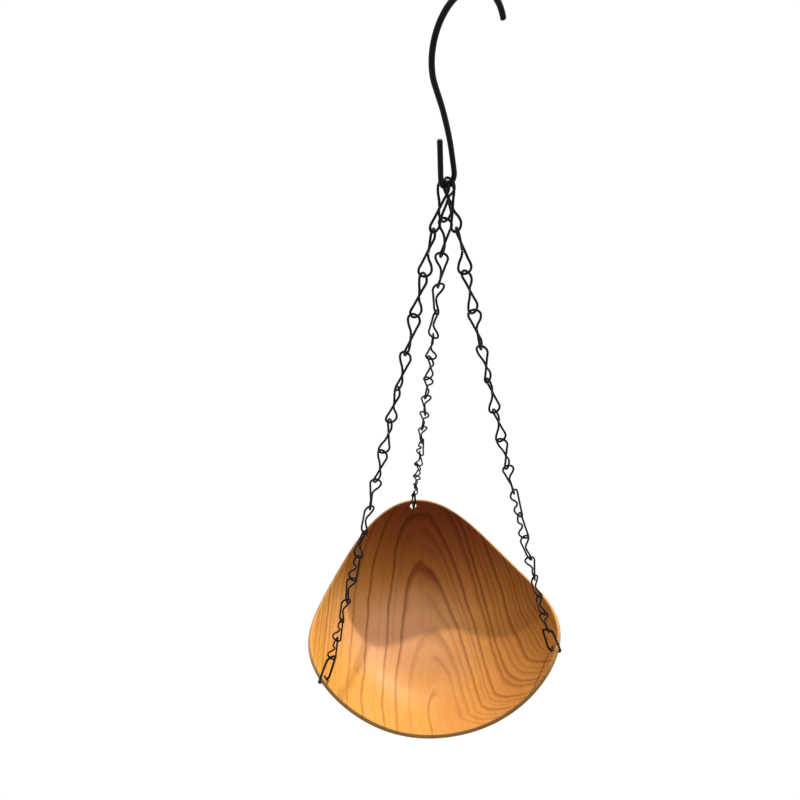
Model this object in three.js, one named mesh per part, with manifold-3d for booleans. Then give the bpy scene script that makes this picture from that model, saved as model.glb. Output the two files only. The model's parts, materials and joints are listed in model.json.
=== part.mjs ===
// Hanging bird bath: a thin wooden shell of a dish, hung by three wire chains from one S-hook.
// Millimetres, +Z up. The origin is under the top of the hook's upper arc, where the hook rests
// on what holds it.
import * as THREE from "three";
import { mergeVertices } from "three/addons/utils/BufferGeometryUtils.js";
import Module from "manifold-3d";

const wasm = await Module();
wasm.setup();

const degrees = THREE.MathUtils.degToRad;
const UP = new THREE.Vector3(0, 0, 1);

// Clearance between two wires that touch on the real object
const PLAY = 0.3;

// Dish: a wall round a flat floor, drawn up to three corners
const CORNERS = 3;
const CORNER_RADIUS = 106.7; // from the axis to the rim at a corner
const SIDE_RADIUS = 94.5; // from the axis to the rim halfway between corners
const CORNER_DEPTH = 62; // from the floor up to the rim at a corner
const SIDE_DEPTH = 33; // from the floor up to the rim halfway between corners
const RIM_DIP = 2.4; // how far the rim runs under an even wave between corner and side
const WALL = 3.2; // thickness everywhere, with a rounded rim
const FLOOR_SHARE = 0.3; // share of the way out that is flat
const WALL_CURVE = 2.4; // power by which the wall climbs from the floor to the rim
const DISH_TURN = degrees(6.4); // of the corner at the back away from +Y
const DISH_SEGMENTS = 54;
const WALL_SHARES = [0.3, 0.45, 0.58, 0.7, 0.8, 0.88, 0.95, 1];
const RIM_ARC_STEPS = 4;

// Hole near each corner, square to the wall
const HOLE_INSET = 4.4; // from the end of the wall, where its rounding starts, down to the middle
const HOLE_CLEARANCE = 0.4; // round the wire that runs through it
const HOLE_SEGMENTS = 20;
const CUT_OVERRUN = 2;

// Chain link: one length of wire, bent to two loops at right angles to each other
const LINK_PITCH = 22;
const LINK_WIRE = 1.3;
const LINK_WIDTH = 7.8; // over a loop
const LINK_SIDES = 5;
const LINK_STEPS = 24;
const LINK_END_GAP = 0.5; // between the two ends of the wire, at the waist
const LOOP_POINTS = 6;
// Front wire from the waist to the loop: share of the height, share of the way out
const FRONT_SHARES = [[0, 0], [0.3, 0.25], [0.65, 0.75]];

// Chain: links from the hook to a rim link
const LINKS = 16;
const LEAN_STEP = degrees(0.19); // each piece leans out this much more than the one above it
const LINK_TURN = degrees(36); // most that a link is turned about its chain against the one above it
// Each link's turn against the one above it, and the links whose straight side faces the other way
const LEFT_TURN_SHARES = [0, -0.9, 0.5, 1, -0.2, -1, -0.1, 1, 1, 0.9, 0.8, -0.3, -1, 0.3, 1, 0.1];
const RIGHT_TURN_SHARES = [0, -0.9, 0.9, 1, -0.6, -1, 0.1, 1, 1, 1, 0.6, -1, -0.6, 1, 0.1, -1];
const BACK_TURN_SHARES = [0, 0.7, 0.2, 1, 1, 0.8, 1, 0.9, 0.9, -0.7, 1, 1, 1, 1, 0.8, -0.9];
const LEFT_REVERSED = [1, 2, 3, 4, 5, 6, 8, 12, 15, 16];
const RIGHT_REVERSED = [1, 5, 8, 10, 11, 13];
const BACK_REVERSED = [2, 3, 7, 8, 9, 10, 11];

// Rim link: a long loop through the hole in the dish, over its rim
const RIM_LINK_DROP = 28.4; // from the joint with the last link to the middle of the hole
const RIM_LINK_WIRE = 1.8;
const RIM_LINK_WIDTH = 9.8; // over the round upper end
const RIM_LINK_INNER = 3.5; // from the line of the chain to the leg inside the dish
const RIM_LINK_CORNER = 2.8; // bend radius of the squared lower end
const RIM_LINK_SIDES = 6;
const RIM_LINK_STEPS = 30;
const RIM_LINK_CLEARANCE = 0.4; // between the outer leg and the rim
const RIM_CORNER_POINTS = 4;

// S-hook: a small bend that holds the three chains, a leg, and a wide arc above
const HOOK_WIRE = 2.5;
const HOOK_TURN = degrees(42); // of the hook's plane away from +X
const BEND_CLEARANCE = 0.75; // between the row of chains and the sides of the bend
const HOOK_ARC_RADIUS = 21;
const HOOK_ARC_OFFSET = 9.6; // from above the bend sideways to the middle of the arc
const HOOK_ARC_HEIGHT = 48; // from the middle of the bend's curve up to the middle of the arc
const HOOK_ARC_END = degrees(22); // where the arc stops, from level on its open side
const LEG_BOW = 1.4; // how far the long leg bows away from the free leg
const FREE_LEG = 17.8; // the short leg beyond the bend
const FREE_LEG_LEAN = degrees(4.7); // outwards
const HOOK_SIDES = 8;
const HOOK_STEPS = 64;
const BEND_POINTS = 12;
const ARC_POINTS = 16;

const WOOD = new THREE.MeshStandardMaterial({ color: 0xb0702f, roughness: 0.55, metalness: 0 });
const BLACK_WIRE = new THREE.MeshStandardMaterial({ color: 0x16130f, roughness: 0.4, metalness: 0.5 });

// Solids

function solidOf(geometry) {
  const bare = geometry.clone();
  bare.deleteAttribute("normal");
  bare.deleteAttribute("uv");
  const merged = mergeVertices(bare);
  const vertProperties = new Float32Array(merged.attributes.position.array);
  const triVerts = new Uint32Array(merged.index.array);
  return new wasm.Manifold(new wasm.Mesh({ numProp: 3, vertProperties, triVerts }));
}

function geometryOf(solid) {
  const { vertProperties, triVerts } = solid.getMesh();
  const geometry = new THREE.BufferGeometry();
  geometry.setAttribute("position", new THREE.BufferAttribute(vertProperties, 3));
  geometry.setIndex(new THREE.BufferAttribute(triVerts, 1));
  geometry.computeVertexNormals();
  return geometry;
}

function named(name, geometry, material) {
  const mesh = new THREE.Mesh(geometry, material);
  mesh.name = name;
  return mesh;
}

// A closed skin over rings of points, from one pole to the other
function skin(firstPole, rings, lastPole) {
  const around = rings[0].length;
  const points = [firstPole, ...rings.flat(), lastPole];
  const last = points.length - 1;
  const faces = [];
  const at = (ring, step) => 1 + ring * around + (step % around);
  for (let step = 0; step < around; step++) {
    faces.push(0, at(0, step), at(0, step + 1));
    for (let ring = 0; ring + 1 < rings.length; ring++) {
      faces.push(at(ring, step), at(ring + 1, step), at(ring + 1, step + 1));
      faces.push(at(ring, step), at(ring + 1, step + 1), at(ring, step + 1));
    }
    faces.push(at(rings.length - 1, step), last, at(rings.length - 1, step + 1));
  }
  const geometry = new THREE.BufferGeometry().setFromPoints(points);
  geometry.setIndex(faces);
  return geometry;
}

// Round wire bent along points
function wireAlong(points, wire, sides, steps) {
  const corners = Array.from({ length: sides }, (_, side) => {
    const angle = (2 * Math.PI * side) / sides;
    return new THREE.Vector2(Math.cos(angle), Math.sin(angle)).multiplyScalar(wire / 2);
  });
  const extrudePath = new THREE.CatmullRomCurve3(points, false, "centripetal");
  return new THREE.ExtrudeGeometry(new THREE.Shape(corners), { steps, extrudePath, bevelEnabled: false });
}

// Points on an arc in the XZ plane, with both ends
function arc(x, z, radius, from, to, count) {
  return Array.from({ length: count + 1 }, (_, step) => {
    const angle = from + ((to - from) * step) / count;
    return new THREE.Vector3(x + radius * Math.cos(angle), 0, z + radius * Math.sin(angle));
  });
}

// Dish

// Middle of the wall's thickness, at a share of the way out and an angle from a corner
function wallMiddle(outShare, angle) {
  const corner = (1 + Math.cos(CORNERS * angle)) / 2;
  const dip = (RIM_DIP * (1 - Math.cos(2 * CORNERS * angle))) / 2;
  const radius = outShare * THREE.MathUtils.lerp(SIDE_RADIUS, CORNER_RADIUS, corner);
  const depth = THREE.MathUtils.lerp(SIDE_DEPTH, CORNER_DEPTH, corner) - dip;
  const climb = Math.max(0, (outShare - FLOOR_SHARE) / (1 - FLOOR_SHARE)) ** WALL_CURVE;
  return new THREE.Vector3(radius * Math.cos(angle), radius * Math.sin(angle), depth * climb);
}

// Directions there: up along the wall, and square to it towards the inside
function wallFrame(outShare, angle) {
  const nudge = 1e-4;
  const along = wallMiddle(outShare + nudge, angle).sub(wallMiddle(outShare - nudge, angle)).normalize();
  const round = wallMiddle(outShare, angle + nudge).sub(wallMiddle(outShare, angle - nudge)).normalize();
  return { along, inside: along.clone().cross(round).normalize() };
}

// Point on the skin at a turn round the rim: 0 on the inner face, pi on the outer face
function skinPoint(outShare, angle, turn) {
  const { along, inside } = wallFrame(outShare, angle);
  return wallMiddle(outShare, angle)
    .addScaledVector(inside, (WALL / 2) * Math.cos(turn))
    .addScaledVector(along, (WALL / 2) * Math.sin(turn));
}

function dishRing(outShare, turn) {
  return Array.from({ length: DISH_SEGMENTS }, (_, step) =>
    skinPoint(outShare, (2 * Math.PI * step) / DISH_SEGMENTS, turn),
  );
}

// Share of the way out at which a hole's middle lies its inset below the end of the wall
function holeShare() {
  const rim = wallMiddle(1, 0);
  let low = FLOOR_SHARE;
  let high = 1;
  for (let halving = 0; halving < 40; halving++) {
    const middle = (low + high) / 2;
    if (wallMiddle(middle, 0).distanceTo(rim) > HOLE_INSET) low = middle;
    else high = middle;
  }
  return low;
}

const HOLE_MIDDLE = wallMiddle(holeShare(), 0);
const HOLE_FRAME = wallFrame(holeShare(), 0);
const WALL_SLOPE = Math.atan2(HOLE_FRAME.along.z, HOLE_FRAME.along.x);

function dishGeometry(holeRadius) {
  const inner = WALL_SHARES.map((share) => dishRing(share, 0));
  const outer = WALL_SHARES.map((share) => dishRing(share, Math.PI)).reverse();
  const rim = Array.from({ length: RIM_ARC_STEPS - 1 }, (_, step) =>
    dishRing(1, (Math.PI * (step + 1)) / RIM_ARC_STEPS),
  );
  const top = UP.clone().multiplyScalar(WALL / 2);
  const shell = solidOf(skin(top, [...inner, ...rim, ...outer], top.clone().negate()));
  const drill = new THREE.CylinderGeometry(holeRadius, holeRadius, WALL + 2 * CUT_OVERRUN, HOLE_SEGMENTS);
  const lean = new THREE.Quaternion().setFromUnitVectors(THREE.Object3D.DEFAULT_UP, HOLE_FRAME.inside);
  drill.applyQuaternion(lean);
  drill.translate(HOLE_MIDDLE.x, HOLE_MIDDLE.y, HOLE_MIDDLE.z);
  let dish = shell;
  for (let corner = 0; corner < CORNERS; corner++) {
    const turned = drill.clone().rotateZ((2 * Math.PI * corner) / CORNERS);
    dish = dish.subtract(solidOf(turned));
  }
  return geometryOf(dish);
}

// S-hook, in the XZ plane with the bottom of its bend on the origin

const CROWN_SPACING = LINK_WIRE + PLAY;
const BEND_INSIDE = CROWN_SPACING + LINK_WIRE / 2 + BEND_CLEARANCE;
const BEND_RADIUS = BEND_INSIDE + HOOK_WIRE / 2;

// Place of a top link's wire over the bend, at a distance from the bend's middle
function crownSeat(offset) {
  const room = BEND_INSIDE - LINK_WIRE / 2 - PLAY;
  return new THREE.Vector3(offset, 0, BEND_RADIUS - Math.sqrt(room ** 2 - offset ** 2));
}

const LEG_BOW_WAY = new THREE.Vector3(LEG_BOW, 0, 0);

function hookGeometry() {
  const centres = Math.hypot(HOOK_ARC_OFFSET, HOOK_ARC_HEIGHT);
  const centresLean = Math.atan2(HOOK_ARC_OFFSET, HOOK_ARC_HEIGHT);
  const legLean = Math.asin((HOOK_ARC_RADIUS + BEND_RADIUS) / centres) - centresLean;
  const bend = arc(0, BEND_RADIUS, BEND_RADIUS, Math.PI + FREE_LEG_LEAN, 2 * Math.PI + legLean, BEND_POINTS);
  const arcMiddle = BEND_RADIUS + HOOK_ARC_HEIGHT;
  const upper = arc(HOOK_ARC_OFFSET, arcMiddle, HOOK_ARC_RADIUS, Math.PI + legLean, HOOK_ARC_END, ARC_POINTS);
  const freeLeg = new THREE.Vector3(-Math.sin(FREE_LEG_LEAN), 0, Math.cos(FREE_LEG_LEAN));
  const tip = bend[0].clone().addScaledVector(freeLeg, FREE_LEG);
  const freeMiddle = tip.clone().lerp(bend[0], 0.5);
  const legThirds = [1, 2].map((third) => bend.at(-1).clone().lerp(upper[0], third / 3).add(LEG_BOW_WAY));
  return wireAlong([tip, freeMiddle, ...bend, ...legThirds, ...upper], HOOK_WIRE, HOOK_SIDES, HOOK_STEPS);
}

// Chain link, upright, with its middle on the origin and its open side towards -X

const LINK_REACH = (LINK_PITCH + LINK_WIRE + PLAY) / 2; // from the middle to the top of a loop's wire line

function linkGeometry() {
  const loop = (LINK_WIDTH - LINK_WIRE) / 2;
  const side = new THREE.Vector3(Math.SQRT1_2, Math.SQRT1_2, 0).multiplyScalar(loop);
  const loopMiddle = LINK_REACH - loop;
  const waist = new THREE.Vector3(side.x - LINK_WIRE - PLAY, 0, LINK_END_GAP / 2);
  const loopStart = new THREE.Vector3(-side.x, -side.y, loopMiddle);
  const front = FRONT_SHARES.map(([upShare, outShare]) => {
    const point = waist.clone().lerp(loopStart, outShare);
    point.z = THREE.MathUtils.lerp(waist.z, loopMiddle, upShare);
    return point;
  });
  const crown = Array.from({ length: LOOP_POINTS + 1 }, (_, step) => {
    const angle = Math.PI * (1 - step / LOOP_POINTS);
    const point = side.clone().multiplyScalar(Math.cos(angle));
    point.z = loopMiddle + loop * Math.sin(angle);
    return point;
  });
  const spineMiddle = new THREE.Vector3(side.x, 0, 0);
  const spine = crown.at(-1).clone().lerp(spineMiddle, 0.5);
  const upper = [...front, ...crown, spine];
  const lower = upper.map((point) => new THREE.Vector3(point.x, -point.y, -point.z)).reverse();
  return wireAlong([...upper, spineMiddle, ...lower], LINK_WIRE, LINK_SIDES, LINK_STEPS);
}

// Rim link, in the XZ plane with its lower wire through the origin and the dish's wall between its legs

function rimLinkGeometry(crossing) {
  const top = RIM_LINK_DROP + (RIM_LINK_WIRE + PLAY) / 2;
  const round = (RIM_LINK_WIDTH - RIM_LINK_WIRE) / 2;
  const rimOut = HOLE_INSET * Math.sin(crossing) + WALL / 2;
  const outer = rimOut + RIM_LINK_CLEARANCE + RIM_LINK_WIRE / 2;
  const bend = RIM_LINK_CORNER;
  const crown = arc(0, top - round, round, 0, Math.PI, LOOP_POINTS);
  const innerCorner = arc(bend - RIM_LINK_INNER, bend, bend, Math.PI, 1.5 * Math.PI, RIM_CORNER_POINTS);
  const outerCorner = arc(outer - bend, bend, bend, 1.5 * Math.PI, 2 * Math.PI, RIM_CORNER_POINTS);
  const butt = outerCorner.at(-1).clone().lerp(crown[0], 0.5);
  const alongLeg = crown[0].clone().sub(outerCorner.at(-1)).normalize();
  const start = butt.clone().addScaledVector(alongLeg, PLAY / 2);
  const end = butt.clone().addScaledVector(alongLeg, -PLAY / 2);
  const path = [start, ...crown, ...innerCorner, ...outerCorner, end];
  return wireAlong(path, RIM_LINK_WIRE, RIM_LINK_SIDES, RIM_LINK_STEPS);
}

// Chains

// How far a chain reaches sideways and down when its top link hangs plumb, for one step of pitch
// and for its two ends
function reachParts() {
  const perPitch = new THREE.Vector2();
  for (let link = 0; link < LINKS; link++)
    perPitch.add(new THREE.Vector2(Math.sin(link * LEAN_STEP), Math.cos(link * LEAN_STEP)));
  const rimLean = LINKS * LEAN_STEP;
  const ends = new THREE.Vector2(Math.sin(rimLean), Math.cos(rimLean)).multiplyScalar(RIM_LINK_DROP);
  ends.y += (LINK_WIRE + PLAY) / 2;
  return { perPitch, ends };
}

// Pitch and top lean with which a chain spans a distance out and down
function fitChain(out, down) {
  const { perPitch, ends } = reachParts();
  const span = Math.hypot(out, down);
  const square = perPitch.lengthSq();
  const half = perPitch.dot(ends);
  const pitch = (Math.sqrt(half ** 2 - square * (ends.lengthSq() - span ** 2)) - half) / square;
  const reach = perPitch.multiplyScalar(pitch).add(ends);
  return { pitch, lean: Math.atan2(out, down) - Math.atan2(reach.x, reach.y) };
}

// Drop of the holes under the middle of the three seats, for chains at their full pitch
function holeDrop() {
  const { perPitch, ends } = reachParts();
  const reach = perPitch.multiplyScalar(LINK_PITCH).add(ends).length();
  return Math.sqrt(reach ** 2 - HOLE_MIDDLE.x ** 2);
}

const CHAINS = [
  { name: "left", corner: 1, seat: -1, turnShares: LEFT_TURN_SHARES, reversed: LEFT_REVERSED },
  { name: "right", corner: 2, seat: 0, turnShares: RIGHT_TURN_SHARES, reversed: RIGHT_REVERSED },
  { name: "back", corner: 0, seat: 1, turnShares: BACK_TURN_SHARES, reversed: BACK_REVERSED },
];
const SEATS = CHAINS.map((chain) => crownSeat(chain.seat * CROWN_SPACING).applyAxisAngle(UP, HOOK_TURN));
const HOLE_HEIGHT = SEATS.reduce((sum, seat) => sum + seat.z, 0) / SEATS.length - holeDrop();
const RIM_LEAN = fitChain(HOLE_MIDDLE.x, holeDrop()).lean + LINKS * LEAN_STEP;
const CROSSING = Math.PI / 2 - WALL_SLOPE + RIM_LEAN; // between the rim link's lower wire and the hole's axis

function chainGroup({ name, corner, turnShares, reversed }, seat, link, rimLink) {
  const azimuth = Math.PI / 2 + DISH_TURN + (2 * Math.PI * corner) / CORNERS;
  const hole = new THREE.Vector3(HOLE_MIDDLE.x, 0, HOLE_HEIGHT).applyAxisAngle(UP, azimuth);
  const way = hole.clone().sub(seat);
  const direction = Math.atan2(way.y, way.x);
  const { pitch, lean } = fitChain(Math.hypot(way.x, way.y), -way.z);
  let turn = HOOK_TURN + Math.PI / 4 - direction; // the top loop stands square to the hook's wire

  const group = new THREE.Group();
  group.position.copy(seat);
  group.rotation.z = direction;
  const joint = new THREE.Vector3();
  const down = (angle) => new THREE.Vector3(Math.sin(angle), 0, -Math.cos(angle));
  joint.addScaledVector(down(lean), (LINK_WIRE + PLAY) / 2);
  turnShares.forEach((share, index) => {
    const leanHere = lean + index * LEAN_STEP;
    const mesh = named(`chain_${name}_link_${String(index + 1).padStart(2, "0")}`, link, BLACK_WIRE);
    mesh.position.copy(joint).addScaledVector(down(leanHere), pitch / 2);
    turn += share * LINK_TURN;
    const facing = reversed.includes(index + 1) ? Math.PI : 0;
    mesh.rotation.set(0, -leanHere, turn + facing, "YZX");
    joint.addScaledVector(down(leanHere), pitch);
    group.add(mesh);
  });
  const rimLean = lean + LINKS * LEAN_STEP;
  const rimMesh = named(`rim_link_${name}`, rimLink, BLACK_WIRE);
  rimMesh.position.copy(joint).addScaledVector(down(rimLean), RIM_LINK_DROP);
  rimMesh.rotation.y = -rimLean;
  group.add(rimMesh);
  return group;
}

// The whole bath, first with the bottom of the hook's bend on the origin

const holeRadius = (WALL * Math.tan(CROSSING) + RIM_LINK_WIRE / Math.cos(CROSSING)) / 2 + HOLE_CLEARANCE;
const dish = named("dish", dishGeometry(holeRadius), WOOD);
dish.rotation.z = Math.PI / 2 + DISH_TURN;
dish.position.z = HOLE_HEIGHT - HOLE_MIDDLE.z;

const hook = named("s_hook", hookGeometry(), BLACK_WIRE);
hook.rotation.z = HOOK_TURN;

const hung = new THREE.Group();
hung.add(dish, hook);
const link = linkGeometry();
const rimLink = rimLinkGeometry(CROSSING);
CHAINS.forEach((chain, index) => hung.add(chainGroup(chain, SEATS[index], link, rimLink)));

const arcTop = BEND_RADIUS + HOOK_ARC_HEIGHT + HOOK_ARC_RADIUS - HOOK_WIRE / 2;
const hangPoint = new THREE.Vector3(HOOK_ARC_OFFSET, 0, arcTop).applyAxisAngle(UP, HOOK_TURN);
hung.position.copy(hangPoint).negate();

const birdBath = new THREE.Group();
birdBath.add(hung);

export default birdBath;
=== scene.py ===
import json
import math

import bpy
import numpy as np
from mathutils import Matrix, Vector

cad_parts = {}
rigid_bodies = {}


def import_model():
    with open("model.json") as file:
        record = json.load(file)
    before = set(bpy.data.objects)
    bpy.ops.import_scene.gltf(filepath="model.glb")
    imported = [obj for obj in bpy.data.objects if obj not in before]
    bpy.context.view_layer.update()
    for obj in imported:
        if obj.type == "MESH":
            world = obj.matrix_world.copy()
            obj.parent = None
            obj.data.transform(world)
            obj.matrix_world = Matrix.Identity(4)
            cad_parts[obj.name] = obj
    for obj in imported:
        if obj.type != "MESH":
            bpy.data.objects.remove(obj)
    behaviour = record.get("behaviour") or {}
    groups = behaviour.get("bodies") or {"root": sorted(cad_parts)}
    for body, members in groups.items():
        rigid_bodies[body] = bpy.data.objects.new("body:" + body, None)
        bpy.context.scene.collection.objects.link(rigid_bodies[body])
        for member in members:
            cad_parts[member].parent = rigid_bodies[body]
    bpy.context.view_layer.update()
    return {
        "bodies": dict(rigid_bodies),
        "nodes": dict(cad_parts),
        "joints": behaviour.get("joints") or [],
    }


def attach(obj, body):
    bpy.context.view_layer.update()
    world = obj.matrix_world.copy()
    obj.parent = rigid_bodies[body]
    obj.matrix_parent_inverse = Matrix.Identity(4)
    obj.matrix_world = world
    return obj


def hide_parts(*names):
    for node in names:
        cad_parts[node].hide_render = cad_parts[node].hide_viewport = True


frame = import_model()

MM = 0.001
UP = Vector((0, 0, 1))

# Sizes, in millimetres, as on the solids
PLAY = 0.3
CORNERS = 3
CORNER_RADIUS = 106.7
SIDE_RADIUS = 94.5
CORNER_DEPTH = 62
SIDE_DEPTH = 33
RIM_DIP = 2.4
WALL = 3.2
FLOOR_SHARE = 0.3
WALL_CURVE = 2.4
DISH_TURN = math.radians(6.4)
HOLE_INSET = 4.4
HOLE_CLEARANCE = 0.4
LINK_PITCH = 22
LINK_WIRE = 1.3
LINK_WIDTH = 7.8
LINK_END_GAP = 0.5
FRONT_SHARES = [(0, 0), (0.3, 0.25), (0.65, 0.75)]
RIM_LINK_DROP = 28.4
RIM_LINK_WIRE = 1.8
RIM_LINK_WIDTH = 9.8
RIM_LINK_INNER = 3.5
RIM_LINK_CORNER = 2.8
RIM_LINK_CLEARANCE = 0.4
HOOK_WIRE = 2.5
BEND_CLEARANCE = 0.75
HOOK_ARC_RADIUS = 21
HOOK_ARC_OFFSET = 9.6
HOOK_ARC_HEIGHT = 48
HOOK_ARC_END = math.radians(22)
LEG_BOW = 1.4
FREE_LEG = 17.8
FREE_LEG_LEAN = math.radians(4.7)

# Finer shape than on the solids
HOLE_EDGE = 0.35  # rounding of a hole's two edges
CUT_OVERRUN = 2
RIM_SQUARENESS = 0.45  # 1 is a round rim, and 0 a square one
RIM_HIGHLIGHT_POWER = 0.5  # how the rim's painted highlight fades from its middle to the two faces
LINK_TIP_SHARE = 0.4  # share of a wire's radius over which its ends are rounded
RIM_LINK_TIP_SHARE = 0.35
HOOK_TIP_SHARE = 0.5

# Fineness of the meshes
DISH_SEGMENTS = 264
WALL_RINGS = 64
WALL_RING_POWER = 0.8  # below 1, the rings lie closer together towards the rim
RIM_RINGS = 11
HOLE_SEGMENTS = 64
HOLE_EDGE_STEPS = 5
HALVINGS = 40
LINK_SIDES, LINK_STEPS = 10, 84
RIM_LINK_SIDES, RIM_LINK_STEPS = 14, 110
HOOK_SIDES, HOOK_STEPS = 24, 200
LOOP_STEPS = 6
CROWN_STEPS = 8
CORNER_STEPS = 6
BEND_STEPS = 16
ARC_STEPS = 28
CURVE_STEPS = 24  # between two points of a smooth line
TIP_RINGS = 4
WIRE_SHARP_ANGLE = math.radians(50)
DISH_SHARP_ANGLE = math.radians(40)
ASKEW = (0.3, 0.5, 0.8)  # no wire starts out this way

JOINTS = {joint["child"]: joint for joint in frame["joints"]}
CHAIN_NAMES = ("left", "right", "back")


# Meshes

def mesh_of(name, points, faces):
    mesh = bpy.data.meshes.new(name)
    mesh.from_pydata([tuple(point) for point in points], [], faces)
    mesh.validate()
    mesh.shade_smooth()
    return mesh


def piece_of(name, mesh, matrix=Matrix.Identity(4)):
    piece = bpy.data.objects.new(name, mesh)
    bpy.context.scene.collection.objects.link(piece)
    piece.matrix_world = matrix
    return piece


def band_faces(first, second, around):
    """Faces between two rings of points that start at those indices."""
    faces = []
    for step in range(around):
        after = (step + 1) % around
        faces.append((first + step, second + step, second + after, first + after))
    return faces


# Wires

def arc(x, z, radius, start, end, count):
    """Points on an arc in the XZ plane, with both ends."""
    angles = np.linspace(start, end, count + 1)
    return [np.array([x + radius * math.cos(a), 0, z + radius * math.sin(a)]) for a in angles]


def smooth_line(points, steps):
    """An even line of steps along a smooth curve through the points."""
    points = [np.asarray(point, float) for point in points]
    points = [2 * points[0] - points[1]] + points + [2 * points[-1] - points[-2]]
    fine = []
    for before, start, end, after in zip(points, points[1:], points[2:], points[3:]):
        gaps = [math.sqrt(np.linalg.norm(b - a)) for a, b in ((before, start), (start, end), (end, after))]
        leave = (start - before) / gaps[0] - (end - before) / (gaps[0] + gaps[1]) + (end - start) / gaps[1]
        reach = (end - start) / gaps[1] - (after - start) / (gaps[1] + gaps[2]) + (after - end) / gaps[2]
        for share in np.linspace(0, 1, CURVE_STEPS, endpoint=False):
            square, cube = share ** 2, share ** 3
            fine.append(
                (2 * cube - 3 * square + 1) * start
                + (cube - 2 * square + share) * gaps[1] * leave
                + (3 * square - 2 * cube) * end
                + (cube - square) * gaps[1] * reach
            )
    fine = np.array(fine + [points[-2]])
    way = np.concatenate([[0], np.cumsum(np.linalg.norm(np.diff(fine, axis=0), axis=1))])
    marks = np.linspace(0, way[-1], steps + 1)
    return np.stack([np.interp(marks, way, fine[:, axis]) for axis in range(3)], axis=1)


def wire_mesh(name, line, wire, sides, tip_share):
    """A round wire along a line. Its ends are rounded over a share of its radius."""
    radius = wire / 2
    tip = radius * tip_share
    ways = np.gradient(line, axis=0)
    ways /= np.linalg.norm(ways, axis=1)[:, None]
    normal = np.cross(ways[0], ASKEW)
    normal /= np.linalg.norm(normal)
    turns = np.linspace(0, 2 * math.pi, sides, endpoint=False)

    def ring(centre, way, across, size):
        other = np.cross(way, across)
        return [centre + size * (math.cos(t) * across + math.sin(t) * other) for t in turns]

    def tip_rings(end, way, inwards, across):
        rings = []
        for bend in np.linspace(0, math.pi / 2, TIP_RINGS, endpoint=False):
            centre = end + inwards * tip * (1 - math.sin(bend))
            rings.append(ring(centre, way, across, radius - tip * (1 - math.cos(bend))))
        return rings

    rings = tip_rings(line[0], ways[0], ways[0], normal)[::-1]
    for index in range(1, len(line) - 1):
        normal = normal - ways[index] * np.dot(normal, ways[index])
        normal /= np.linalg.norm(normal)
        rings.append(ring(line[index], ways[index], normal, radius))
    rings += tip_rings(line[-1], ways[-1], -ways[-1], normal)
    points = [point for one in rings for point in one]
    faces = [tuple(reversed(range(sides)))]
    for index in range(len(rings) - 1):
        faces += band_faces(index * sides, (index + 1) * sides, sides)
    last = (len(rings) - 1) * sides
    faces.append(tuple(range(last, last + sides)))
    mesh = mesh_of(name, np.array(points) * MM, faces)
    mesh.set_sharp_from_angle(angle=WIRE_SHARP_ANGLE)
    return mesh


def link_mesh():
    """A chain link, upright, with its middle on the origin and its open side towards -X."""
    loop = (LINK_WIDTH - LINK_WIRE) / 2
    side = np.array([loop, loop, 0]) * math.sqrt(0.5)
    loop_middle = (LINK_PITCH + LINK_WIRE + PLAY) / 2 - loop
    waist = np.array([side[0] - LINK_WIRE - PLAY, 0, LINK_END_GAP / 2])
    loop_start = np.array([-side[0], -side[1], loop_middle])
    upper = []
    for up_share, out_share in FRONT_SHARES:
        point = waist + (loop_start - waist) * out_share
        point[2] = waist[2] + (loop_middle - waist[2]) * up_share
        upper.append(point)
    for angle in np.linspace(math.pi, 0, LOOP_STEPS + 1):
        upper.append(side * math.cos(angle) + np.array([0, 0, loop_middle + loop * math.sin(angle)]))
    spine_middle = np.array([side[0], 0, 0])
    upper.append((upper[-1] + spine_middle) / 2)
    lower = [point * (1, -1, -1) for point in reversed(upper)]
    line = smooth_line(upper + [spine_middle] + lower, LINK_STEPS)
    return wire_mesh("chain_link", line, LINK_WIRE, LINK_SIDES, LINK_TIP_SHARE)


def rim_link_mesh(crossing):
    """A rim link in the XZ plane, with its lower wire through the origin."""
    top = RIM_LINK_DROP + (RIM_LINK_WIRE + PLAY) / 2
    round_end = (RIM_LINK_WIDTH - RIM_LINK_WIRE) / 2
    outer = HOLE_INSET * math.sin(crossing) + WALL / 2 + RIM_LINK_CLEARANCE + RIM_LINK_WIRE / 2
    bend = RIM_LINK_CORNER
    crown = arc(0, top - round_end, round_end, 0, math.pi, CROWN_STEPS)
    inner_corner = arc(bend - RIM_LINK_INNER, bend, bend, math.pi, 1.5 * math.pi, CORNER_STEPS)
    outer_corner = arc(outer - bend, bend, bend, 1.5 * math.pi, 2 * math.pi, CORNER_STEPS)
    butt = (outer_corner[-1] + crown[0]) / 2
    along = (crown[0] - outer_corner[-1]) / np.linalg.norm(crown[0] - outer_corner[-1])
    path = [butt + along * PLAY / 2, *crown, *inner_corner, *outer_corner, butt - along * PLAY / 2]
    line = smooth_line(path, RIM_LINK_STEPS)
    return wire_mesh("rim_link", line, RIM_LINK_WIRE, RIM_LINK_SIDES, RIM_LINK_TIP_SHARE)


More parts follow.
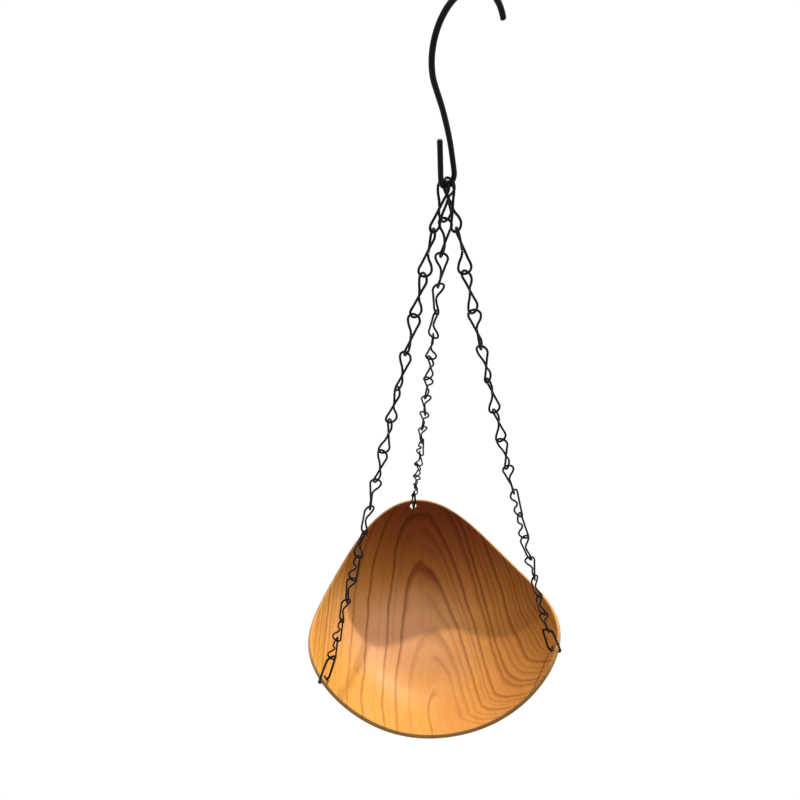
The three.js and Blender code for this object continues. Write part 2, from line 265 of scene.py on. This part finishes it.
def hook_mesh():
    """The S-hook in the XZ plane, with the bottom of its bend on the origin."""
    bend_radius = LINK_WIRE + PLAY + LINK_WIRE / 2 + BEND_CLEARANCE + HOOK_WIRE / 2
    centres = math.hypot(HOOK_ARC_OFFSET, HOOK_ARC_HEIGHT)
    lean = math.asin((HOOK_ARC_RADIUS + bend_radius) / centres) - math.atan2(HOOK_ARC_OFFSET, HOOK_ARC_HEIGHT)
    bend = arc(0, bend_radius, bend_radius, math.pi + FREE_LEG_LEAN, 2 * math.pi + lean, BEND_STEPS)
    arc_middle = bend_radius + HOOK_ARC_HEIGHT
    upper = arc(HOOK_ARC_OFFSET, arc_middle, HOOK_ARC_RADIUS, math.pi + lean, HOOK_ARC_END, ARC_STEPS)
    tip = bend[0] + FREE_LEG * np.array([-math.sin(FREE_LEG_LEAN), 0, math.cos(FREE_LEG_LEAN)])
    leg = [bend[-1] + (upper[0] - bend[-1]) * third / 3 + np.array([LEG_BOW, 0, 0]) for third in (1, 2)]
    path = [tip, (tip + bend[0]) / 2, *bend, *leg, *upper]
    return wire_mesh("s_hook", smooth_line(path, HOOK_STEPS), HOOK_WIRE, HOOK_SIDES, HOOK_TIP_SHARE)


# Dish

def wall_middle(out_share, angle):
    """Middle of the wall's thickness, at a share of the way out and an angle from a corner."""
    corner = (1 + math.cos(CORNERS * angle)) / 2
    dip = RIM_DIP * (1 - math.cos(2 * CORNERS * angle)) / 2
    radius = out_share * (SIDE_RADIUS + (CORNER_RADIUS - SIDE_RADIUS) * corner)
    depth = SIDE_DEPTH + (CORNER_DEPTH - SIDE_DEPTH) * corner - dip
    climb = max(0.0, (out_share - FLOOR_SHARE) / (1 - FLOOR_SHARE)) ** WALL_CURVE
    return Vector((radius * math.cos(angle), radius * math.sin(angle), depth * climb))


def wall_frame(out_share, angle):
    """Directions there: up along the wall, and square to it towards the inside."""
    nudge = 1e-4
    along = (wall_middle(out_share + nudge, angle) - wall_middle(out_share - nudge, angle)).normalized()
    round_ = (wall_middle(out_share, angle + nudge) - wall_middle(out_share, angle - nudge)).normalized()
    return along, along.cross(round_).normalized()


def skin_point(out_share, angle, turn):
    """Point on the skin at a turn round the rim: 0 on the inner face, pi on the outer face."""
    along, inside = wall_frame(out_share, angle)
    parts = (math.cos(turn), math.sin(turn))
    across, out = (math.copysign(abs(part) ** RIM_SQUARENESS, part) for part in parts)
    return wall_middle(out_share, angle) + inside * (WALL / 2 * across) + along * (WALL / 2 * out)


def hole_share():
    """Share of the way out at which a hole's middle lies its inset below the end of the wall."""
    rim = wall_middle(1, 0)
    low, high = FLOOR_SHARE, 1
    for _ in range(HALVINGS):
        middle = (low + high) / 2
        if (wall_middle(middle, 0) - rim).length > HOLE_INSET:
            low = middle
        else:
            high = middle
    return low


def dish_mesh():
    """The shell without its holes. The attribute rim is 1 on the middle of the rim and 0 on the faces; it
    places the painted highlight on the rim.
    """
    angles = [2 * math.pi * step / DISH_SEGMENTS for step in range(DISH_SEGMENTS)]
    shares = [((ring + 1) / WALL_RINGS) ** WALL_RING_POWER for ring in range(WALL_RINGS)]
    stations = [(share, 0.0) for share in shares]
    stations += [(1.0, math.pi * (ring + 1) / (RIM_RINGS + 1)) for ring in range(RIM_RINGS)]
    stations += [(share, math.pi) for share in reversed(shares)]
    points = [Vector((0, 0, WALL / 2))]
    for share, turn in stations:
        points += [skin_point(share, angle, turn) for angle in angles]
    points.append(Vector((0, 0, -WALL / 2)))
    faces = [(0, 1 + step, 1 + (step + 1) % DISH_SEGMENTS) for step in range(DISH_SEGMENTS)]
    for ring in range(len(stations) - 1):
        faces += band_faces(1 + ring * DISH_SEGMENTS, 1 + (ring + 1) * DISH_SEGMENTS, DISH_SEGMENTS)
    last, start = len(points) - 1, 1 + (len(stations) - 1) * DISH_SEGMENTS
    faces += [(start + step, last, start + (step + 1) % DISH_SEGMENTS) for step in range(DISH_SEGMENTS)]
    turned = Matrix.Rotation(math.pi / 2 + DISH_TURN, 3, "Z")
    mesh = mesh_of("dish", [turned @ point * MM for point in points], faces)
    # Where the rim's painted highlight goes
    rim = mesh.attributes.new("rim", "FLOAT", "POINT")
    values = [0.0]
    for share, turn in stations:
        values += [math.sin(turn) ** RIM_HIGHLIGHT_POWER if share == 1 else 0.0] * DISH_SEGMENTS
    rim.data.foreach_set("value", values + [0.0])
    return mesh


def drill_mesh(radius):
    """A round cutter along Z that widens where it leaves the wall, to round the hole's edges."""
    half = WALL / 2
    profile = [(radius + HOLE_EDGE + CUT_OVERRUN, -half - CUT_OVERRUN)]
    for bend in np.linspace(0, math.pi / 2, HOLE_EDGE_STEPS + 1):
        profile.append((radius + HOLE_EDGE * (1 - math.sin(bend)), -half + HOLE_EDGE * (1 - math.cos(bend))))
    profile += [(size, -height) for size, height in reversed(profile)]
    points = []
    for size, height in profile:
        for step in range(HOLE_SEGMENTS):
            angle = 2 * math.pi * step / HOLE_SEGMENTS
            points.append((size * math.cos(angle) * MM, size * math.sin(angle) * MM, height * MM))
    faces = [tuple(reversed(range(HOLE_SEGMENTS)))]
    for ring in range(len(profile) - 1):
        faces += band_faces((ring + 1) * HOLE_SEGMENTS, ring * HOLE_SEGMENTS, HOLE_SEGMENTS)
    last = (len(profile) - 1) * HOLE_SEGMENTS
    faces.append(tuple(range(last, last + HOLE_SEGMENTS)))
    return mesh_of("drill", points, faces)


# Materials

def linear(code):
    """Linear colour of a code such as d9a066."""
    shares = [int(code[at:at + 2], 16) / 255 for at in (0, 2, 4)]
    return tuple(s / 12.92 if s <= 0.04045 else ((s + 0.055) / 1.055) ** 2.4 for s in shares) + (1,)


class Shader:
    """One material's nodes, added and joined by short calls."""

    def __init__(self, name):
        self.material = bpy.data.materials.new(name)
        self.material.use_nodes = True
        self.tree = self.material.node_tree
        self.surface = self.tree.nodes["Principled BSDF"]

    def node(self, kind, inputs=None, **settings):
        node = self.tree.nodes.new("ShaderNode" + kind)
        for key, value in settings.items():
            setattr(node, key, value)
        for key, value in (inputs or {}).items():
            self.set(node.inputs[key], value)
        return node

    def set(self, socket, value):
        if isinstance(value, bpy.types.NodeSocket):
            self.tree.links.new(value, socket)
        else:
            socket.default_value = value

    def math(self, operation, first, second=0.0, third=0.0):
        return self.node("Math", {0: first, 1: second, 2: third}, operation=operation).outputs[0]

    def product(self, *shares):
        result = shares[0]
        for share in shares[1:]:
            result = self.math("MULTIPLY", result, share)
        return result

    def vector(self, operation, first, second):
        return self.node("VectorMath", {0: first, 1: second}, operation=operation).outputs[0]

    def length(self, vector):
        return self.node("VectorMath", {0: vector}, operation="LENGTH").outputs["Value"]

    def axes(self, vector):
        return self.node("SeparateXYZ", {0: vector}).outputs

    def noise(self, vector, scale, detail=2.0, roughness=0.5):
        inputs = {"Vector": vector, "Scale": scale, "Detail": detail, "Roughness": roughness}
        return self.node("TexNoise", inputs).outputs["Fac"]

    def between(self, value, low, high, to_low, to_high):
        inputs = {"Value": value, "From Min": low, "From Max": high, "To Min": to_low, "To Max": to_high}
        return self.node("MapRange", inputs, clamp=True).outputs["Result"]

    def mix(self, share, first, second, blend="MIX"):
        """A mix of colours. The node's sockets 6 and 7, and its output 2, are the ones for colours."""
        node = self.node("Mix", data_type="RGBA", blend_type=blend, clamp_factor=True)
        for socket, value in zip((node.inputs[0], node.inputs[6], node.inputs[7]), (share, first, second)):
            self.set(socket, value)
        return node.outputs[2]

    def ramp(self, value, stops):
        node = self.node("ValToRGB", {"Fac": value})
        elements = node.color_ramp.elements
        while len(elements) > 1:
            elements.remove(elements[-1])
        elements[0].position = stops[0][0]
        elements[0].color = (stops[0][1],) * 3 + (1,)
        for place, shade in stops[1:]:
            elements.new(place).color = (shade,) * 3 + (1,)
        return node.outputs["Color"]

    def bump(self, height, distance, strength):
        inputs = {"Height": height, "Distance": distance, "Strength": strength}
        return self.node("Bump", inputs).outputs["Normal"]


# Wood. Its places are in millimetres from the middle of the dish's floor, and a range gives where
# it starts and ends, then the value at its start and at its end.

# The tree's middle: it dips under the floor towards the back, and leans to one side with height
RING_X, RING_X_SLOPE, RING_X_BOW, RING_LEAN = 2.16, -0.044, -0.052, 0.228
RING_Z, RING_Z_SLOPE, RING_Z_BOW = -44.4, -0.46, 0.2
RING_BOW_LENGTH = 50
RING_HEIGHT_SHARE = 0.513  # height counts this much against the distance across
SWAY_SCALE, SWAY_DETAIL, SWAY_REACH = 0.024, 3.0, 6  # slow unevenness of the rings

# Dark rings on each side: distance from the tree's middle, darkness, width of the fade on the inner side
LEFT_RINGS = [(7.5, 0.95, 1.6), (24.5, 0.45, 3), (36.3, 1, 2.4), (43, 0.25, 2), (47.5, 1, 2), (55, 0.2, 2),
              (66.4, 1, 2.4), (80.6, 0.7, 2.2), (90, 0.25, 3), (95, 0.4, 3), (100, 0.4, 2), (103.5, 0.6, 2.4),
              (107.6, 0.9, 2), (110, 0.6, 1.6), (112.6, 0.7, 2), (117, 0.6, 3)]
RIGHT_RINGS = [(18, 0.5, 2), (24.5, 0.6, 3), (29.5, 0.4, 2), (35, 1, 2.4), (40, 0.35, 2), (43, 0.6, 2.6),
               (47.7, 1, 2.2), (57.3, 0.8, 3), (61, 1, 2), (66.5, 0.55, 2), (70.5, 0.4, 2), (75.8, 1, 2.4),
               (79.5, 0.35, 2), (82.6, 0.45, 2), (85.2, 0.8, 1.8), (87.6, 0.5, 1.6), (90.4, 0.6, 2),
               (93.5, 0.6, 2), (96.5, 0.4, 2)]
RING_EDGE = 1.1  # width of the fade on the outer side
RING_SCALE = 135  # the ramps' whole length
RINGS_PER_RAMP = 10
SIDE_WIDTH = 3  # to either side of the middle, where the left rings give way to the right ones

# Three bends in the rings: over at the front on the right, closer together behind, and a shoulder behind
FOLD_HEIGHT = 20
FOLD_FRONT = (-85, -38, 0.75, 0)
FOLD_RIGHT = (-5, 20, 0, 1)
CLOSING_BEHIND = (40, 95, 0, 7)
CLOSING_OUTSIDE = (62, 75, 0, 1)
SHOULDER_BEHIND = (66, 98, 0, 1)
SHOULDER_RISE = (-20, 0, 7, 4)
SHOULDER_RIGHT_END = (4, 20, 1, 0)
SHOULDER_INNER_END = (38, 46, 0, 1)
SHOULDER_OUTER_END = (54, 62, 1, 0)

# Fibres, bands and patches: scale, detail and roughness of each noise
FIBRE_STRETCH = 0.06  # of the fibres' noise along the tree
FIBRE_NOISE = (1.1, 4.0, 0.65)
BAND_NOISE = (0.16, 3.0, 0.6)
PATCH_SCALE = 0.02

# Colours, from the first to the last that is laid over it, and where each shows
LIGHT_WOOD, DEEP_WOOD, BANDS = "e4a04a", "d69042", (0.3, 0.7, 0, 1)
RED_WOOD, PATCHES = "d8945a", (0.35, 0.65, 0, 0.4)
GOLDEN_WOOD, GOLDEN_LEFT = "ecac4e", (-70, 10, 0.8, 0)
# Painted sheen: a paler, pinker patch on the floor stands in for the satin's sheen of light
PAINTED_SHEEN, PAINTED_SHEEN_REACH = "f3b284", (0.3, 1.1, 0.75, 0)
PAINTED_SHEEN_PLACE = (-38, 4, 0)  # middle of a paler, pinker part of the floor, a painted sheen
PAINTED_SHEEN_SCALE = (1 / 62, 1 / 48, 0)  # over its reach each way
# Painted shade: a dark brown laid over the wood towards the back corner stands in for the shade on the back
# wall
PAINTED_SHADE_BROWN, PAINTED_SHADE_BEHIND = "8c3a04", (20, 100, 0, 0.9)
FIBRE_WOOD, FIBRES = "b06a34", (0.42, 0.75, 0, 0.3)
BLOTCH_SHADE = (0.62, 0.42, 0.5, 1)  # of a dark blotch inside the top of the inner arch
BLOTCH_INSIDE, BLOTCH_OUTSIDE = (27, 35.5, 0, 0.6), (35.5, 36, 1, 0)
BLOTCH_LEFT, BLOTCH_RIGHT = (-9, -3, 0, 1), (9, 15, 1, 0)
LINE_SHADE, LINES_BEHIND = (0.42, 0.28, 0.12, 1), (-70, 20, 0.68, 1)
# Painted highlight: a pale cream tint along the rim stands in for light catching its edge
RIM_PAINTED_HIGHLIGHT, RIM_HIGHLIGHT_SHARE = "e8bc80", 0.35

# Surface
WOOD_ROUGHNESS = (0.3, 0.7, 0.42, 0.54)
WOOD_SPECULAR = 0.22
FIBRE_RELIEF, LINE_RELIEF = 0.4, 0.5
WOOD_BUMP = (0.00012, 0.6)  # height in metres, and strength


def ring_lines(shader, share, rings):
    """Darkness of one side's rings."""
    lines = 0.0
    for start in range(0, len(rings), RINGS_PER_RAMP):
        stops = [(0, 0)]
        for distance, dark, fade in rings[start:start + RINGS_PER_RAMP]:
            stops += [((distance - fade) / RING_SCALE, 0), (distance / RING_SCALE, dark)]
            stops.append(((distance + RING_EDGE) / RING_SCALE, 0))
        lines = shader.math("MAXIMUM", lines, shader.ramp(share, stops))
    return lines


def tree_place(shader, axes):
    """Distance across from the tree's middle, height above it, and distance from it."""
    bow = shader.math("DIVIDE", shader.product(axes[1], axes[1]), RING_BOW_LENGTH)

    def from_middle(value, start, slope, curve):
        middle = shader.math("MULTIPLY_ADD", axes[1], slope, start)
        middle = shader.math("MULTIPLY_ADD", bow, curve, middle)
        return shader.math("SUBTRACT", value, middle)

    across = from_middle(axes[0], RING_X, RING_X_SLOPE, RING_X_BOW)
    across = shader.math("MULTIPLY_ADD", axes[2], -RING_LEAN, across)
    above = from_middle(axes[2], RING_Z, RING_Z_SLOPE, RING_Z_BOW)
    above = shader.product(above, RING_HEIGHT_SHARE)
    flat = shader.node("CombineXYZ", {"X": across, "Y": above}).outputs[0]
    return across, above, shader.length(flat)


def bent_distance(shader, axes, across, distance):
    """Distance from the tree's middle with the rings' three bends."""
    between, product = shader.between, shader.product
    climb = shader.math("MAXIMUM", shader.math("SUBTRACT", axes[2], FOLD_HEIGHT), 0)
    fold = product(climb, between(axes[1], *FOLD_FRONT), between(across, *FOLD_RIGHT))
    closing = product(between(axes[1], *CLOSING_BEHIND), between(distance, *CLOSING_OUTSIDE))
    shoulder = product(
        between(axes[1], *SHOULDER_BEHIND),
        between(across, *SHOULDER_RISE),
        between(across, *SHOULDER_RIGHT_END),
        between(distance, *SHOULDER_INNER_END),
        between(distance, *SHOULDER_OUTER_END),
    )
    bent = shader.math("ADD", shader.math("SUBTRACT", distance, fold), closing)
    return shader.math("SUBTRACT", bent, shoulder)


# The wood's grain and tone, with painted shade towards the back, a painted sheen on the floor and a painted
# highlight on the rim
def wood_and_painted_light_colour(shader, size, across, bent, lines, fibres, bands):
    between, product, mix = shader.between, shader.product, shader.mix
    right, behind, _ = shader.axes(size)
    patches = shader.noise(size, PATCH_SCALE)
    colour = mix(between(bands, *BANDS), linear(LIGHT_WOOD), linear(DEEP_WOOD))
    colour = mix(between(patches, *PATCHES), colour, linear(RED_WOOD))
    colour = mix(between(right, *GOLDEN_LEFT), colour, linear(GOLDEN_WOOD))
    # Painted sheen: a paler patch on the floor
    offset = shader.vector("MULTIPLY", shader.vector("SUBTRACT", size, PAINTED_SHEEN_PLACE), PAINTED_SHEEN_SCALE)
    colour = mix(between(shader.length(offset), *PAINTED_SHEEN_REACH), colour, linear(PAINTED_SHEEN))
    # Painted shade: darker brown towards the back
    colour = mix(between(behind, *PAINTED_SHADE_BEHIND), colour, linear(PAINTED_SHADE_BROWN))
    colour = mix(between(fibres, *FIBRES), colour, linear(FIBRE_WOOD))
    blotch = product(
        between(bent, *BLOTCH_INSIDE),
        between(bent, *BLOTCH_OUTSIDE),
        between(across, *BLOTCH_LEFT),
        between(across, *BLOTCH_RIGHT),
    )
    colour = mix(blotch, colour, BLOTCH_SHADE, "MULTIPLY")
    colour = mix(product(lines, between(behind, *LINES_BEHIND)), colour, LINE_SHADE, "MULTIPLY")
    # The rim's painted highlight, a pale tint where light catches the edge
    rim = shader.node("Attribute", attribute_name="rim").outputs["Fac"]
    return mix(product(rim, RIM_HIGHLIGHT_SHARE), colour, linear(RIM_PAINTED_HIGHLIGHT))


def wood():
    """Satin wood with an open cathedral grain, cut from a tree whose middle lies under the dish."""
    shader = Shader("wood")
    place = shader.node("TexCoord").outputs["Object"]
    size = shader.vector("MULTIPLY", place, (1 / MM,) * 3)
    noise = {"Vector": size, "Scale": SWAY_SCALE, "Detail": SWAY_DETAIL}
    sway = shader.vector("SUBTRACT", shader.node("TexNoise", noise).outputs["Color"], (0.5,) * 3)
    sway = shader.vector("MULTIPLY", sway, (SWAY_REACH,) * 3)
    axes = shader.axes(shader.vector("ADD", size, sway))
    across, above, distance = tree_place(shader, axes)
    bent = bent_distance(shader, axes, across, distance)
    share = shader.math("DIVIDE", bent, RING_SCALE)
    left = ring_lines(shader, share, LEFT_RINGS)
    right = ring_lines(shader, share, RIGHT_RINGS)
    lines = shader.between(across, -SIDE_WIDTH, SIDE_WIDTH, left, right)

    # Fibres run along the tree
    along = shader.product(axes[1], FIBRE_STRETCH)
    fibre_place = shader.node("CombineXYZ", {"X": across, "Y": along, "Z": above}).outputs[0]
    fibres = shader.noise(fibre_place, *FIBRE_NOISE)
    bands = shader.noise(fibre_place, *BAND_NOISE)

    surface = shader.surface
    shader.set(surface.inputs["Base Color"], wood_and_painted_light_colour(shader, size, across, bent, lines, fibres, bands))
    shader.set(surface.inputs["Roughness"], shader.between(fibres, *WOOD_ROUGHNESS))
    surface.inputs["Specular IOR Level"].default_value = WOOD_SPECULAR
    relief = shader.math("SUBTRACT", shader.product(fibres, FIBRE_RELIEF), shader.product(lines, LINE_RELIEF))
    shader.set(surface.inputs["Normal"], shader.bump(relief, *WOOD_BUMP))
    return shader.material


# Wire: scale, detail and roughness of each noise, and the ranges in them
COARSE_NOISE = (260.0, 3.0, 0.6)
FINE_NOISE = (1400.0, 2.0, 0.6)
DARK_WIRE, LIGHT_WIRE, WIRE_MIX = "080706", "100e0a", (0.35, 0.7, 0, 1)
RUBBED_WIRE, RUBBED = "2c281f", (0.66, 0.72, 0, 0.5)
WIRE_ROUGHNESS = (0.3, 0.7, 0.34, 0.5)
WIRE_SPECULAR = 0.12
WIRE_BUMP = (0.00006, 0.5)  # height in metres, and strength


def black_wire():
    """Black finish over steel wire: satin, with fine unevenness and a few rubbed places."""
    shader = Shader("black_wire")
    place = shader.node("TexCoord").outputs["Object"]
    coarse = shader.noise(place, *COARSE_NOISE)
    fine = shader.noise(place, *FINE_NOISE)
    colour = shader.mix(shader.between(coarse, *WIRE_MIX), linear(DARK_WIRE), linear(LIGHT_WIRE))
    colour = shader.mix(shader.between(coarse, *RUBBED), colour, linear(RUBBED_WIRE))
    surface = shader.surface
    shader.set(surface.inputs["Base Color"], colour)
    shader.set(surface.inputs["Roughness"], shader.between(fine, *WIRE_ROUGHNESS))
    surface.inputs["Specular IOR Level"].default_value = WIRE_SPECULAR
    shader.set(surface.inputs["Normal"], shader.bump(fine, *WIRE_BUMP))
    return shader.material


WOOD = wood()
WIRE = black_wire()


# Pieces

def finish_piece(piece, node, body, material):
    if not piece.data.materials:
        piece.data.materials.append(material)
    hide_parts(node)
    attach(piece, body)


def frame_at(place, across, up):
    """Matrix with its origin at a place, X along across and Z along up."""
    side = up.cross(across)
    matrix = Matrix((across, side, up)).transposed().to_4x4()
    matrix.translation = place
    return matrix


def joint_frame(body):
    """Place and direction of the joint that a body turns on."""
    return Vector(JOINTS[body]["pos_m"]), Vector(JOINTS[body]["axis"]).normalized()


def make_dish():
    """The dish, drilled at each corner. It gives the angle between a rim link's lower wire and its hole."""
    hole_height = JOINTS["rim_link_back"]["pos_m"][2]
    share = hole_share()
    middle, (along, inside) = wall_middle(share, 0), wall_frame(share, 0)
    hook_place = Vector(JOINTS["dish"]["pos_m"])
    origin = Vector((hook_place.x, hook_place.y, hole_height - middle.z * MM))
    leans = [math.acos(joint_frame("rim_link_" + name)[1].z) for name in CHAIN_NAMES]
    crossing = math.pi / 2 - math.atan2(along.z, along.x) + sum(leans) / len(leans)
    radius = (WALL * math.tan(crossing) + RIM_LINK_WIRE / math.cos(crossing)) / 2 + HOLE_CLEARANCE
    dish = piece_of("dish_shell", dish_mesh(), Matrix.Translation(origin))
    drill = drill_mesh(radius)
    lean = inside.to_track_quat("Z", "Y").to_matrix().to_4x4()
    hole = Matrix.Translation(middle * MM) @ lean
    for corner in range(CORNERS):
        turn = Matrix.Rotation(math.pi / 2 + DISH_TURN + 2 * math.pi * corner / CORNERS, 4, "Z")
        cutter = piece_of("drill", drill, Matrix.Translation(origin) @ turn @ hole)
        cut = dish.modifiers.new("hole", "BOOLEAN")
        cut.operation = "DIFFERENCE"
        cut.solver = "EXACT"
        cut.object = cutter
        bpy.context.view_layer.objects.active = dish
        bpy.ops.object.modifier_apply(modifier=cut.name)
        bpy.data.objects.remove(cutter)
    dish.data.shade_smooth()
    dish.data.set_sharp_from_angle(angle=DISH_SHARP_ANGLE)
    finish_piece(dish, "dish", "dish", WOOD)
    return crossing


def make_hook():
    place, across = joint_frame("dish")
    hook = piece_of("hook_wire", hook_mesh(), frame_at(place, across, UP))
    finish_piece(hook, "s_hook", "hook", WIRE)


def make_links():
    """The chains' links. Each turns its straight side the way that its solid leans to."""
    mesh = link_mesh()
    for name in frame["bodies"]:
        if not name.startswith("chain_"):
            continue
        place, up = joint_frame(name)
        points = [vertex.co for vertex in frame["nodes"][name].data.vertices]
        spine = sum(points, Vector()) / len(points) - place
        across = (spine - up * spine.dot(up)).normalized()
        link = piece_of(name.replace("link", "wire"), mesh, frame_at(place, across, up))
        finish_piece(link, name, name, WIRE)


def make_rim_links(crossing):
    mesh = rim_link_mesh(crossing)
    for name in CHAIN_NAMES:
        body = "rim_link_" + name
        place, up = joint_frame(body)
        flat = math.hypot(up.x, up.y)
        across = Vector((-up.x * up.z / flat, -up.y * up.z / flat, flat))
        link = piece_of(f"rim_wire_{name}", mesh, frame_at(place, across, up))
        finish_piece(link, body, body, WIRE)


# Stage

CAMERA_TILT = math.radians(42.4716)  # below level
CAMERA_ROLL = math.radians(-0.9967)
CAMERA_PLACE = Vector((-29.82, -271.09, 41.69)) * MM
CAMERA_LENGTH = 610.8  # focal length in pixels of an 800 pixel wide picture
PICTURE_WIDTH = 800
SENSOR = 36
NEAREST_SEEN = 0.01
FLOOR_DROP = 1.0
FLOOR_SIZE = 60
FLOOR_SHADE = (0.35, 0.35, 0.35, 1)
FLOOR_GLOW = 0.72  # as the camera and glossy surfaces see it
WHITE = (1, 1, 1, 1)
FILL_STRENGTH = 0.07  # of the world's light on the object
# Lamps: azimuth and height that they shine from, strength, width in the sky, colour
KEY_LAMP = (math.radians(68), math.radians(25.5), 3.0, math.radians(2.0), (1, 0.96, 0.88))
OVERHEAD_LAMP = (math.radians(62), math.radians(60), 1.45, math.radians(40), (1, 0.98, 0.94))


def make_camera():
    data = bpy.data.cameras.new("camera")
    data.sensor_width = SENSOR
    data.lens = CAMERA_LENGTH / PICTURE_WIDTH * SENSOR
    data.clip_start = NEAREST_SEEN
    camera = bpy.data.objects.new("camera", data)
    bpy.context.scene.collection.objects.link(camera)
    ahead = Vector((0, math.cos(CAMERA_TILT), -math.sin(CAMERA_TILT)))
    right = Vector((1, 0, 0))
    top = right.cross(ahead)
    tilted_right = right * math.cos(CAMERA_ROLL) + top * math.sin(CAMERA_ROLL)
    camera.matrix_world = frame_at(CAMERA_PLACE, tilted_right, -ahead)
    bpy.context.scene.camera = camera


def make_sun(name, azimuth, height, strength, angle, colour):
    data = bpy.data.lights.new(name, "SUN")
    data.energy = strength
    data.angle = angle
    data.color = colour
    lamp = bpy.data.objects.new(name, data)
    bpy.context.scene.collection.objects.link(lamp)
    level = math.cos(height)
    towards = Vector((level * math.cos(azimuth), level * math.sin(azimuth), math.sin(height)))
    lamp.rotation_mode = "QUATERNION"
    lamp.rotation_quaternion = towards.to_track_quat("Z", "Y")


def make_world():
    """White as the camera and glossy surfaces see it, and a weak light on the object."""
    world = bpy.data.worlds.new("studio")
    bpy.context.scene.world = world
    world.use_nodes = True
    tree = world.node_tree
    tree.nodes.clear()
    path = tree.nodes.new("ShaderNodeLightPath")
    seen = tree.nodes.new("ShaderNodeMath")
    seen.operation = "MAXIMUM"
    tree.links.new(path.outputs["Is Camera Ray"], seen.inputs[0])
    tree.links.new(path.outputs["Is Glossy Ray"], seen.inputs[1])
    strength = tree.nodes.new("ShaderNodeMapRange")
    strength.inputs["To Min"].default_value = FILL_STRENGTH
    strength.inputs["To Max"].default_value = 1.0
    tree.links.new(seen.outputs[0], strength.inputs["Value"])
    background = tree.nodes.new("ShaderNodeBackground")
    background.inputs["Color"].default_value = WHITE
    tree.links.new(strength.outputs["Result"], background.inputs["Strength"])
    output = tree.nodes.new("ShaderNodeOutputWorld")
    tree.links.new(background.outputs[0], output.inputs["Surface"])


def make_floor():
    half = FLOOR_SIZE / 2
    corners = [(x * half, y * half, -FLOOR_DROP) for x, y in ((-1, -1), (1, -1), (1, 1), (-1, 1))]
    floor = piece_of("floor", mesh_of("floor", corners, [(0, 1, 2, 3)]))
    shader = Shader("floor")
    tree = shader.tree
    path = shader.node("LightPath").outputs
    shown = shader.math("MAXIMUM", path["Is Camera Ray"], path["Is Glossy Ray"])
    surface = shader.surface
    surface.inputs["Base Color"].default_value = FLOOR_SHADE
    surface.inputs["Roughness"].default_value = 1
    surface.inputs["Specular IOR Level"].default_value = 0
    glow = shader.node("Emission", {"Color": WHITE, "Strength": shader.product(shown, FLOOR_GLOW)})
    both = shader.node("AddShader", {0: surface.outputs[0], 1: glow.outputs[0]})
    tree.links.new(both.outputs[0], tree.nodes["Material Output"].inputs["Surface"])
    floor.data.materials.append(shader.material)


make_camera()
make_world()
make_sun("key", *KEY_LAMP)
make_sun("overhead", *OVERHEAD_LAMP)
make_floor()
crossing = make_dish()
make_hook()
make_links()
make_rim_links(crossing)

view = bpy.context.scene.view_settings
view.view_transform = "Standard"
